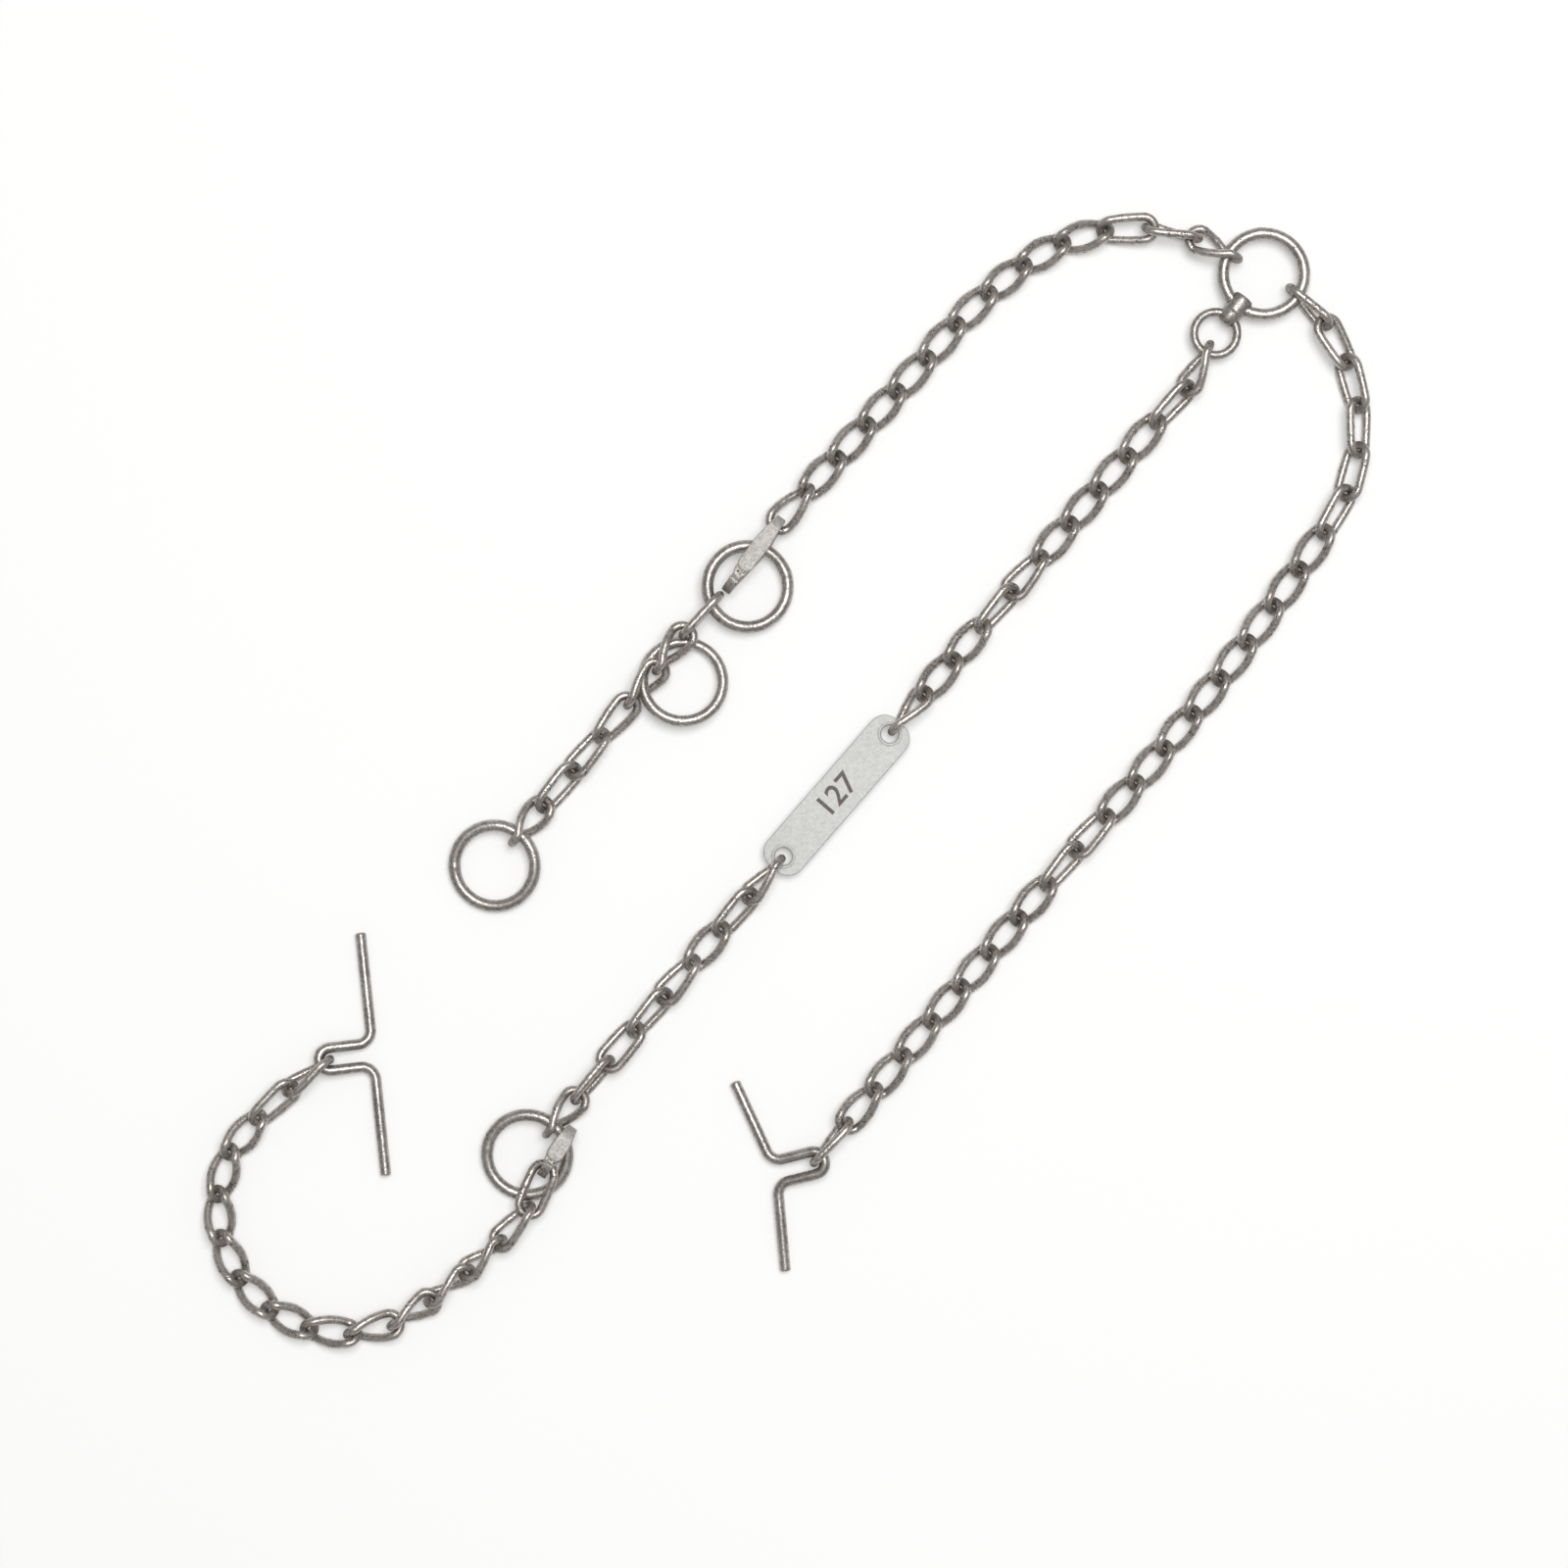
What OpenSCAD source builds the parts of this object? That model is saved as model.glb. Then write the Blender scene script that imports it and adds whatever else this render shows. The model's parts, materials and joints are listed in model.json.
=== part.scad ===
// Cattle tie chain: three strands of twisted welded links that leave one
// welded ring, with lap links, rings, a marking plate and two toggles, laid
// out on a flat floor. Millimetres, Z up. The floor is z = 0, and x = y = 0
// is the middle of the laid out chain.

/* [Chain links] */
// Wire of a link
link_wire = 5; // [4.6:0.1:5.4]
// Length of a link between its two seats
link_pitch = 26; // [25:0.5:29]
// Free play between two hooked links
seat_play = 0.7; // [0.6:0.05:1]
// Room beside the next link's wire inside a bow
side_play = 4; // [3.9:0.1:4.6]
// How far the sides bulge past the bows
side_bulge = 0.2; // [0.15:0.05:0.4]
// Half of the angle that a bow spans
bow_half = 84; // [80:1:86]
// How far the wire swells where a bow meets a side
swell = 0.1; // [0.08:0.01:0.2]
// Twist of a bow against the middle of its link
link_twist = 38; // [36:1:40]
// How much shorter a slack link lies than a tight one
slack = 0.5; // [0:0.1:0.6]

/* [Rings] */
// Clear width of a welded ring
ring_inner = 40; // [38:1:48]
// Wire of a welded ring
ring_wire = 7; // [6.4:0.1:7.2]
// Wire of the ring that hangs on two neighbouring links
side_ring_wire = 6.6; // [6:0.1:6.8]

/* [Swivel] */
// Clear width of the swivel eye
eye_inner = 20; // [19:1:26]
// Wire of the swivel eye
eye_wire = 5; // [4.4:0.1:5.4]
// Diameter of the swivel body
barrel_d = 12.6; // [12:0.2:15]
// Free play round each wire in the swivel body
barrel_play = 0.5; // [0.4:0.05:0.7]
// Metal between the two bores of the swivel body
barrel_web = 1.4; // [1.2:0.1:2.5]
// Metal past each bore, along the swivel body
barrel_end = 2; // [1.5:0.1:3]

/* [Lap links] */
// Length over the longer lap link
lap_a_length = 54; // [50:1:56]
// Length over the shorter lap link
lap_b_length = 34; // [33:1:38]
// Clear height inside a lap link
lap_inner = 12; // [11.5:0.5:14]
// Thickness of the bent strap
strap = 3; // [2.5:0.1:3.5]
// Width of the strap over its broad blade
blade_w = 10.4; // [9:0.2:11]
// Width of the strap over its neck
neck_w = 5.6; // [5:0.2:7]
// Width of the strap at its blunt tip
tip_w = 5; // [4.6:0.2:6]
// Step at the lap
lap_step = 0.7; // [0.4:0.1:1]
// From a lap link's bent end to the seat of the link that it carries
strap_play = 1.8; // [1.6:0.1:2]

/* [Marking plate] */
// Length of the plate
tag_length = 112; // [106:1:124]
// Width of the plate
tag_width = 26; // [22:1:32]
// Thickness of the plate
tag_thick = 2; // [1.5:0.1:3]
// Corner radius of the plate
tag_corner = 10; // [6:0.5:11]
// Diameter of the two holes
tag_hole = 10; // [9.6:0.2:11]
// Metal between a hole and the end of the plate
tag_lip = 4; // [3:0.2:5]

/* [Toggles] */
// Rod of a toggle
rod = 6.3; // [5.6:0.1:6.6]
// Clear radius inside a toggle's eye
toggle_eye = 3.5; // [3.4:0.1:5]
// Distance from the eye to the line of the arms
toggle_leg = 25; // [23:1:32]
// Centreline radius of the bend from leg to arm
toggle_bend = 8; // [7:0.5:11]
// Length of an arm of the longer toggle, from the eye's axis
arm_1 = 71; // [50:1:80]
// Length of an arm of the shorter toggle, from the eye's axis
arm_2 = 57; // [40:1:62]
// Forward sweep of the shorter toggle's arms
sweep_2 = 10; // [0:1:14]
// Chamfer on the ends of the rod
rod_chamfer = 0.8; // [0.4:0.1:1.2]

/* [Hidden] */
$fn = 48;

// From the middle of a joining ball to the ends of the wire inside it
joint_short = 0.3;

steel = [0.60, 0.58, 0.55];
plate_grey = [0.80, 0.80, 0.79];

// One link lies along x. Its bows are arcs in planes rolled by the twist, and
// each side is the one arc through both bows' ends and the side's own middle.
side_r = (link_wire + side_play + link_wire)/2;
bow_r = side_r - side_bulge;
apex = (link_pitch + seat_play + link_wire)/2;
kink_x = apex - bow_r + bow_r*cos(bow_half);
kink_y = bow_r*sin(bow_half);

ring_r = (ring_inner + ring_wire)/2;
eye_r = (eye_inner + eye_wire)/2;
toggle_r = toggle_eye + rod/2;
// Height of a ring where a link that stands on edge carries it
hook_z = link_wire/2 + bow_r;
// From a seat to the middle of what the link hangs on
to_ring = (ring_inner - seat_play)/2;
to_eye = (eye_inner - seat_play)/2;
to_toggle = toggle_eye - seat_play/2;
to_hole = (tag_hole - seat_play)/2;

function aim(a) = [cos(a), sin(a)];

// Bends of a strand, outward from the big ring: [links, heading, turn a link].
// Rolls of a strand: [links, roll, twist, step of roll a link].
bends_a = [[5, 154, 14], [3, 219, 5], [5, 228, 0]];
rolls_a = [[1, 50, 40, 0], [1, 80, 10, 0], [1, -26, 12, 0], [3, 0, link_twist + 6, 0],
    [6, 0, link_twist, 0], [1, 32, 34, 0]];
bends_d = [[1, 227, 0], [1, 233, 0], [5, 230, 0]];
rolls_d = [[1, -90, 0, 0], [1, -47, 44, 0], [1, -54, 35, 0], [1, -34, 18, 0],
    [1, 42, 8, 0], [1, -45, 5, 0], [1, -36, 54, 0]];
bends_b = [[1, 243, 0], [1, 227, 0], [9, 229.5, 0]];
rolls_b = [[1, 62, 28, 0], [1, -54, 4, 0], [4, 0, link_twist, 0], [1, 41, 17, 0],
    [1, -56, 6, 0], [2, 0, link_twist, 0], [1, 66, -24, 0]];
bends_e = [[8, 229.5, 0]];
rolls_e = [[1, 68, 22, 0], [1, -45, 5, 0], [1, 0, link_twist, 0], [1, 41, 17, 0],
    [1, -50, 6, 0], [1, 25, 8, 0], [1, -72, 2, 0], [1, -45, 45, 0]];
bends_f = [[1, 247, 0], [4, 228, -5], [7, 194, -20], [3, 50, -7]];
rolls_f = [[1, 2, 8, 0], [1, 50, 20, 0], [5, 75, link_twist, 25],
    [6, 0, link_twist + 8, 0], [1, 42, 8, 0], [1, -73, 17, 0]];
bends_c = [[6, -45, -15], [9, -124, -1], [9, -130, 0]];
rolls_c = [[1, 80, 10, 0], [1, -30, 12, 0], [1, 46, -4, 0], [1, -42, 3, 0],
    [1, 42, 3, 0], [1, -45, 3, 0], [7, 0, link_twist, 0], [1, 10, link_twist, 0],
    [1, 42, 10, 0], [1, -50, 6, 0], [4, 0, link_twist, 0],
    [3, 8, link_twist, 6], [1, 83, -7, 0]];

function walk(rows, k, i = 0) =
    k < rows[i][0] || i == len(rows) - 1 ? [i, k] : walk(rows, k - rows[i][0], i + 1);
function heading(bends, k) = let(w = walk(bends, k)) bends[w[0]][1] + bends[w[0]][2]*w[1];
function twist(rolls, k) = rolls[walk(rolls, k)[0]][2];
function roll(rolls, k) = let(w = walk(rolls, k)) rolls[w[0]][1] + rolls[w[0]][3]*w[1];
function near_roll(rolls, k) = roll(rolls, k) + twist(rolls, k);
function far_roll(rolls, k) = roll(rolls, k) - twist(rolls, k);

// A strand is [start, bends, rolls, links, step, raised seats, their height,
// height of the last seat].
function seat_xy(s, k) = k == 0 ? s[0]
    : seat_xy(s, k - 1)
        + sqrt(pow(s[4], 2) - pow(seat_z(s, k) - seat_z(s, k - 1), 2))*aim(heading(s[1], k - 1));
function lift(rolls, k) = link_wire/2 + side_r*abs(sin(roll(rolls, k)));
function seat_z(s, k) = max(
    k > 0 ? max(lift(s[2], k - 1), link_wire/2 + bow_r*abs(sin(far_roll(s[2], k - 1)))) : 0,
    k < s[3] ? max(lift(s[2], k), link_wire/2 + bow_r*abs(sin(near_roll(s[2], k)))) : 0,
    k < s[5] ? s[6] : 0,
    k == s[3] ? s[7] : 0);
function end_xy(s) = seat_xy(s, s[3]);
function end_heading(s) = heading(s[1], s[3] - 1);

// The big ring, and the two strands that hook straight on it
big_xy = [276, 293.2];
strand_a = [big_xy + to_ring*aim(150), bends_a, rolls_a, 13, link_pitch, 1, hook_z, hook_z];
strand_c = [big_xy + to_ring*aim(-30), bends_c, rolls_c, 24, link_pitch, 1, hook_z, hook_z];

// The swivel body is centred on the ring's wire, and the eye lies past a web
swivel_aim = -129;
bore_gap = ring_wire/2 + barrel_play + barrel_web + barrel_play + eye_wire/2;
eye_xy = big_xy + (ring_r + bore_gap + eye_r)*aim(swivel_aim);
tag_z = 8.3;
strand_b = [eye_xy + to_eye*aim(-117), bends_b, rolls_b, 11, link_pitch, 1, hook_z, tag_z];

// The lap link on strand a, and the ring that it carries
lap_z = strap + lap_inner/2 + 0.4;
lap_a_aim = 232.5;
ring_3_xy = end_xy(strand_a) + [-17, -36];
ring_3_high = 12.7;
ring_3_low = 5.4;
hook_3_aim = 202;
strand_d = [ring_3_xy + (to_ring - 0.3)*aim(hook_3_aim), bends_d, rolls_d, 7, link_pitch, 3,
    12.1, hook_z];
ring_2_xy = seat_xy(strand_d, 2) + [13.7, -8.1];
ring_2_high = 12.3;
ring_2_low = 4;
ring_1_xy = end_xy(strand_d) + to_ring*aim(232);

// The marking plate hangs between strands b and e
tag_aim = 229;
hole_span = tag_length - tag_hole - 2*tag_lip;
hole_1 = end_xy(strand_b) + to_hole*aim(end_heading(strand_b));
hole_2 = hole_1 + hole_span*aim(tag_aim);
strand_e = [hole_2 + to_hole*aim(heading(bends_e, 0)), bends_e, rolls_e, 8,
    link_pitch - slack, 1, tag_z, hook_z];
ring_4_xy = end_xy(strand_e) + to_ring*aim(228);

// The second lap link hangs on ring 4 beside strand e
lap_b_aim = 236.5;
cross_b = 22;
lap_b_z = 9.3;
lap_b_rise = 3.4;
lap_b_xy = ring_4_xy + ring_r*aim(cross_b) - (ring_wire/2 + 2.5 + strap)*aim(lap_b_aim);
over_ring_z = lap_b_z + (lap_b_length - strap - strap_play)*sin(lap_b_rise);
strand_f = [lap_b_xy + (lap_b_length - strap - strap_play)*cos(lap_b_rise)*aim(lap_b_aim),
    bends_f, rolls_f, 15, link_pitch - slack, 2, over_ring_z, hook_z];

toggle_1_aim = 6;
toggle_2_aim = 195;

// One arc of round wire in the xy plane, centred on +x. Its ends stop short of
// the full angle, inside the ball that joins it to the next piece of wire.
module arc(r, wire, half) {
    short = half - asin(joint_short/r);
    rotate([0, 0, -short])
        rotate_extrude(angle = 2*short, $fn = max($fn, ceil(1440/short)))
            translate([r, 0])
                circle(d = wire, $fn = 48);
}

// One side of a link: the arc through (kink_x, bow end), (0, side_r) and the
// same point of the other bow
module link_side(t) {
    rise = kink_y*sin(t);
    reach = kink_y*cos(t);
    chord = sqrt(kink_x*kink_x + rise*rise);
    sag = side_r - reach;
    r = (chord*chord + sag*sag)/(2*sag);
    translate([0, side_r - r, 0])
        rotate([0, atan2(rise, kink_x), 0])
            rotate([0, 0, 90])
                arc(r, link_wire, asin(chord/r));
}

// A whole link with its near bow at -x; a twist above 0 rolls that bow's left
// side up and the far bow's left side down
module link(t) {
    for (turn = [0, 180]) {
        rotate([0, 0, turn])
            rotate([-t, 0, 0]) {
                translate([apex - bow_r, 0, 0])
                    arc(bow_r, link_wire, bow_half);
                for (side = [-1, 1])
                    translate([kink_x, side*kink_y, 0])
                        rotate([0, 90, 0])
                            sphere(d = link_wire + 2*swell);
            }
        rotate([turn, 0, 0])
            link_side(t);
    }
}

// Links first to first + count - 1 of a strand, each between its two seats
module chain_part(s, first, count) {
    color(steel)
        for (k = [first : first + count - 1]) {
            a = seat_xy(s, k);
            b = seat_xy(s, k + 1);
            za = seat_z(s, k);
            zb = seat_z(s, k + 1);
            translate([(a.x + b.x)/2, (a.y + b.y)/2, (za + zb)/2])
                rotate([0, -asin((zb - za)/s[4]), heading(s[1], k)])
                    rotate([roll(s[2], k), 0, 0])
                        link(twist(s[2], k));
        }
}

// A ring of round wire. Its wire's centre is at height "high" on the side
// towards "up", and at height "low" on the far side.
module leaning_ring(xy, wire, up, high, low) {
    r = (ring_inner + wire)/2;
    lean = asin((high - low)/(2*r));
    translate([xy.x, xy.y, (high + low)/2])
        rotate([0, 0, up])
            rotate([0, -lean, 0])
                rotate_extrude($fn = 96)
                    translate([r, 0])
                        circle(d = wire);
}

module big_ring() {
    color(steel)
        translate([big_xy.x, big_xy.y, hook_z])
            rotate_extrude($fn = 96)
                translate([ring_r, 0])
                    circle(d = ring_wire);
}

// A turned body on the big ring's wire; the eye's wire runs through its outer end
module swivel_body() {
    inner = ring_wire/2 + barrel_play + barrel_end;
    outer = bore_gap + eye_wire/2 + barrel_play + barrel_end;
    rb = barrel_d/2;
    color(steel)
        translate([big_xy.x, big_xy.y, hook_z])
            rotate([0, 0, swivel_aim])
                difference() {
                    translate([ring_r, 0, 0])
                        rotate([0, 90, 0])
                            rotate_extrude()
                                polygon([[0, -inner], [rb - 2, -inner], [rb, 1.5 - inner],
                                    [rb, 2], [rb - 1.6, outer - 1], [rb - 2.6, outer],
                                    [0, outer]]);
                    rotate_extrude($fn = 96)
                        translate([ring_r, 0])
                            circle(d = ring_wire + 2*barrel_play);
                    translate([ring_r + bore_gap + eye_r, 0, 0])
                        rotate_extrude($fn = 96)
                            translate([eye_r, 0])
                                circle(d = eye_wire + 2*barrel_play);
                }
}

module swivel_eye() {
    color(steel)
        translate([eye_xy.x, eye_xy.y, hook_z])
            rotate_extrude($fn = 96)
                translate([eye_r, 0])
                    circle(d = eye_wire);
}

// A lap link: a flat strap bent to a long loop, seen here from the side, with
// its broad blade lapped over its neck. x runs from the tip, y is the width.
module lap_link(length) {
    round_r = lap_inner/2 + strap;
    blade_x = round_r + (length - 2*round_r)*0.3;
    lap_x = round_r + (length - 2*round_r)*0.8;
    intersection() {
        rotate([90, 0, 0])
            linear_extrude(blade_w, center = true)
                difference() {
                    union() {
                        for (x = [round_r, length - round_r])
                            translate([x, 0])
                                circle(r = round_r);
                        translate([round_r, -round_r])
                            square([length - 2*round_r, 2*round_r]);
                    }
                    for (x = [round_r, length - round_r])
                        translate([x, 0])
                            circle(r = lap_inner/2);
                    translate([round_r, -lap_inner/2])
                        square([length - 2*round_r, lap_inner]);
                    // the strap is thinner past the lap on its upper side
                    translate([lap_x, round_r - lap_step])
                        square([length, lap_step + 1]);
                    // the open line of the lap
                    translate([lap_x - 0.3, round_r - strap - 1])
                        square([0.3, 1 + strap - 1.4]);
                }
        linear_extrude(2*round_r + 2, center = true)
            polygon([[-1, tip_w/2], [blade_x - 3, blade_w/2], [blade_x + 6, blade_w/2],
                [lap_x + 2, neck_w/2 + 0.8], [length - 6, neck_w/2], [length + 1, neck_w/2],
                [length + 1, -neck_w/2], [length - 6, -neck_w/2],
                [lap_x + 2, -neck_w/2 - 0.8], [blade_x + 6, -blade_w/2],
                [blade_x - 3, -blade_w/2], [-1, -tip_w/2]]);
    }
}

module lap_link_a() {
    p = end_xy(strand_a) - (strap + strap_play)*aim(lap_a_aim);
    color(steel)
        translate([p.x, p.y, lap_z])
            rotate([0, 0, lap_a_aim])
                lap_link(lap_a_length);
}

module lap_link_b() {
    color(steel)
        translate([lap_b_xy.x, lap_b_xy.y, lap_b_z])
            rotate([0, -lap_b_rise, lap_b_aim])
                lap_link(lap_b_length);
}

module ring_1() {
    color(steel)
        leaning_ring(ring_1_xy, ring_wire, 232 - 180, hook_z, ring_wire/2);
}

module ring_2() {
    color(steel)
        leaning_ring(ring_2_xy, side_ring_wire, 252, ring_2_high, ring_2_low);
}

module ring_3() {
    color(steel)
        leaning_ring(ring_3_xy, ring_wire, 168, ring_3_high, ring_3_low);
}

module ring_4() {
    color(steel)
        leaning_ring(ring_4_xy, ring_wire, 60, hook_z, ring_wire/2);
}

module tag_plate() {
    color(plate_grey)
        translate([hole_1.x, hole_1.y, tag_z - tag_thick/2])
            rotate([0, 0, tag_aim])
                linear_extrude(tag_thick)
                    difference() {
                        union() {
                            for (x = [-1, 1], y = [-1, 1])
                                translate([hole_span/2 + x*(tag_length/2 - tag_corner),
                                        y*(tag_width/2 - tag_corner)])
                                    circle(r = tag_corner);
                            translate([(hole_span - tag_length)/2 + tag_corner, -tag_width/2])
                                square([tag_length - 2*tag_corner, tag_width]);
                            translate([(hole_span - tag_length)/2, tag_corner - tag_width/2])
                                square([tag_length, tag_width - 2*tag_corner]);
                        }
                        for (x = [0, hole_span])
                            translate([x, 0])
                                circle(d = tag_hole);
                    }
}

// Straight length of a toggle's arm, and how far out its tip lies
function arm_rest(arm, sweep) =
    (arm - toggle_r - toggle_bend*(1 - sin(sweep)))/cos(sweep);
function tip_x(arm, sweep) =
    toggle_leg - toggle_bend*(1 - cos(sweep)) + arm_rest(arm, sweep)*sin(sweep);

// Half of a toggle: leg, bend and arm on the +y side, with the eye's bow round
// the origin and the legs running towards +x
module toggle_half(arm, sweep) {
    turn = 90 - sweep;
    bend_x = toggle_leg - toggle_bend;
    rest = arm_rest(arm, sweep) - rod_chamfer;
    for (x = [0, bend_x])
        translate([x, toggle_r, 0])
            rotate([0, 90, 0])
                sphere(d = rod + 2*swell);
    translate([0, toggle_r, 0])
        rotate([0, 90, 0])
            translate([0, 0, joint_short])
                cylinder(d = rod, h = bend_x - 2*joint_short);
    translate([bend_x, toggle_r + toggle_bend, 0])
        rotate([0, 0, turn/2 - 90])
            arc(toggle_bend, rod, turn/2);
    translate([bend_x + toggle_bend*sin(turn), toggle_r + toggle_bend*(1 - cos(turn)), 0])
        rotate([0, 0, turn])
            rotate([0, 90, 0]) {
                sphere(d = rod + 2*swell);
                translate([0, 0, joint_short])
                    cylinder(d = rod, h = rest - joint_short);
                translate([0, 0, rest])
                    cylinder(d1 = rod, d2 = rod - 2*rod_chamfer, h = rod_chamfer);
            }
}

// A toggle hooked at the end of a strand; its arms come down to the floor
module toggle(s, out, arm, sweep) {
    p = end_xy(s) + to_toggle*aim(end_heading(s));
    near = toggle_r*cos(out - end_heading(s));
    dip = asin((seat_z(s, s[3]) - rod/2)/(tip_x(arm, sweep) + near));
    color(steel)
        translate([p.x, p.y, rod/2 + tip_x(arm, sweep)*sin(dip)])
            rotate([0, dip, out]) {
                rotate([0, 0, 180])
                    arc(toggle_r, rod, 90);
                toggle_half(arm, sweep);
                mirror([0, 1, 0])
                    toggle_half(arm, sweep);
            }
}

big_ring();
swivel_body();
swivel_eye();
chain_part(strand_a, 0, 2);  // chain_a_1
chain_part(strand_a, 2, 2);  // chain_a_2
chain_part(strand_a, 4, 2);  // chain_a_3
chain_part(strand_a, 6, 2);  // chain_a_4
chain_part(strand_a, 8, 2);  // chain_a_5
chain_part(strand_a, 10, 2);  // chain_a_6
chain_part(strand_a, 12, 1);  // chain_a_7
lap_link_a();
ring_3();
chain_part(strand_d, 0, 1);  // chain_d_1
chain_part(strand_d, 1, 2);  // chain_d_2
chain_part(strand_d, 3, 2);  // chain_d_3
chain_part(strand_d, 5, 2);  // chain_d_4
ring_2();
ring_1();
chain_part(strand_b, 0, 2);  // chain_b_1
chain_part(strand_b, 2, 2);  // chain_b_2
chain_part(strand_b, 4, 2);  // chain_b_3
chain_part(strand_b, 6, 2);  // chain_b_4
chain_part(strand_b, 8, 2);  // chain_b_5
chain_part(strand_b, 10, 1);  // chain_b_6
tag_plate();
chain_part(strand_e, 0, 2);  // chain_e_1
chain_part(strand_e, 2, 2);  // chain_e_2
chain_part(strand_e, 4, 2);  // chain_e_3
chain_part(strand_e, 6, 2);  // chain_e_4
ring_4();
lap_link_b();
chain_part(strand_f, 0, 1);  // chain_f_1
chain_part(strand_f, 1, 2);  // chain_f_2
chain_part(strand_f, 3, 2);  // chain_f_3
chain_part(strand_f, 5, 2);  // chain_f_4
chain_part(strand_f, 7, 2);  // chain_f_5
chain_part(strand_f, 9, 2);  // chain_f_6
chain_part(strand_f, 11, 2);  // chain_f_7
chain_part(strand_f, 13, 2);  // chain_f_8
toggle(strand_f, toggle_1_aim, arm_1, 0);  // toggle_1
chain_part(strand_c, 0, 2);  // chain_c_1
chain_part(strand_c, 2, 2);  // chain_c_2
chain_part(strand_c, 4, 2);  // chain_c_3
chain_part(strand_c, 6, 2);  // chain_c_4
chain_part(strand_c, 8, 2);  // chain_c_5
chain_part(strand_c, 10, 2);  // chain_c_6
chain_part(strand_c, 12, 2);  // chain_c_7
chain_part(strand_c, 14, 2);  // chain_c_8
chain_part(strand_c, 16, 2);  // chain_c_9
chain_part(strand_c, 18, 2);  // chain_c_10
chain_part(strand_c, 20, 2);  // chain_c_11
chain_part(strand_c, 22, 2);  // chain_c_12
toggle(strand_c, toggle_2_aim, arm_2, sweep_2);  // toggle_2
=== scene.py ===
"""The looks of a cattle tie chain: twisted welded links, rings, lap links,
a swivel, a marking plate and two toggles on a pale floor, seen from above.

Sizes below are in millimetres, as on the workshop drawing, and become metres
when a mesh is made. The strands are laid out by the same rules as the solids.
"""
import json
from math import asin, atan2, ceil, cos, degrees, exp, hypot, pi, radians, sin, sqrt

import bmesh
import bpy
from mathutils import Matrix, Vector

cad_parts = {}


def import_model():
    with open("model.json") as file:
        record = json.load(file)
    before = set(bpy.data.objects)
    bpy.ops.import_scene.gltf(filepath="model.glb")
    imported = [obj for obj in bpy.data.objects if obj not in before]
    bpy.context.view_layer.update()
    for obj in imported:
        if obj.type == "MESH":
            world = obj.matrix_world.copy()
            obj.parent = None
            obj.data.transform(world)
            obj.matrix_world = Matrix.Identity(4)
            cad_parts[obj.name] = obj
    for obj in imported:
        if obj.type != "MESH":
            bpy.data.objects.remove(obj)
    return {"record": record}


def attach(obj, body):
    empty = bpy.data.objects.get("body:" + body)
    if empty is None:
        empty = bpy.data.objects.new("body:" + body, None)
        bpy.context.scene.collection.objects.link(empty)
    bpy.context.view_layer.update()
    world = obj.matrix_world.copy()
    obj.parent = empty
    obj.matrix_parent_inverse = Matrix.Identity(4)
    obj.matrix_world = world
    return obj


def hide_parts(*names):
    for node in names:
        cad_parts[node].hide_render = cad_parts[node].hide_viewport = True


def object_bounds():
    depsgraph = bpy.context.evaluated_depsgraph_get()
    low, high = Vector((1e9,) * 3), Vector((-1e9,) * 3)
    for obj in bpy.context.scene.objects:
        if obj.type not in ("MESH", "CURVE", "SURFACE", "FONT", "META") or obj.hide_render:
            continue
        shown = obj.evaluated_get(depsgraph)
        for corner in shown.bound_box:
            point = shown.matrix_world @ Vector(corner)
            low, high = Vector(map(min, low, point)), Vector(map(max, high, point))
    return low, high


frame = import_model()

CAD_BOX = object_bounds()
MM = 0.001

# Sizes

LINK_WIRE, LINK_PITCH, SEAT_PLAY = 5.0, 26.0, 0.7
SIDE_PLAY, SIDE_BULGE, BOW_HALF = 4.0, 0.2, 84.0
LINK_TWIST, SLACK = 38.0, 0.5
RING_INNER, RING_WIRE, SIDE_RING_WIRE = 40.0, 7.0, 6.6
EYE_INNER, EYE_WIRE = 20.0, 5.0
BORE_PLAY, BORE_WEB = 0.5, 1.4
LAP_A_LENGTH, LAP_B_LENGTH, LAP_INNER, STRAP = 54.0, 34.0, 12.0, 3.0
BLADE_W, NECK_W, TIP_W, LAP_STEP, STRAP_PLAY = 10.4, 5.6, 5.0, 0.7, 1.8
TAG_LENGTH, TAG_WIDTH, TAG_THICK, TAG_CORNER = 112.0, 26.0, 2.0, 10.0
TAG_HOLE, TAG_LIP, TAG_Z = 10.0, 4.0, 8.3
ROD, TOGGLE_EYE, TOGGLE_LEG, TOGGLE_BEND = 6.3, 3.5, 25.0, 8.0

SIDE_R = (2*LINK_WIRE + SIDE_PLAY)/2
BOW_R = SIDE_R - SIDE_BULGE
APEX = (LINK_PITCH + SEAT_PLAY + LINK_WIRE)/2
KINK_X = APEX - BOW_R + BOW_R*cos(radians(BOW_HALF))
KINK_Y = BOW_R*sin(radians(BOW_HALF))
RING_R = (RING_INNER + RING_WIRE)/2
EYE_R = (EYE_INNER + EYE_WIRE)/2
TOGGLE_R = TOGGLE_EYE + ROD/2
HOOK_Z = LINK_WIRE/2 + BOW_R
TO_RING = (RING_INNER - SEAT_PLAY)/2
TO_EYE = (EYE_INNER - SEAT_PLAY)/2
TO_TOGGLE = TOGGLE_EYE - SEAT_PLAY/2
TO_HOLE = (TAG_HOLE - SEAT_PLAY)/2
HOLE_SPAN = TAG_LENGTH - TAG_HOLE - 2*TAG_LIP

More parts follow.
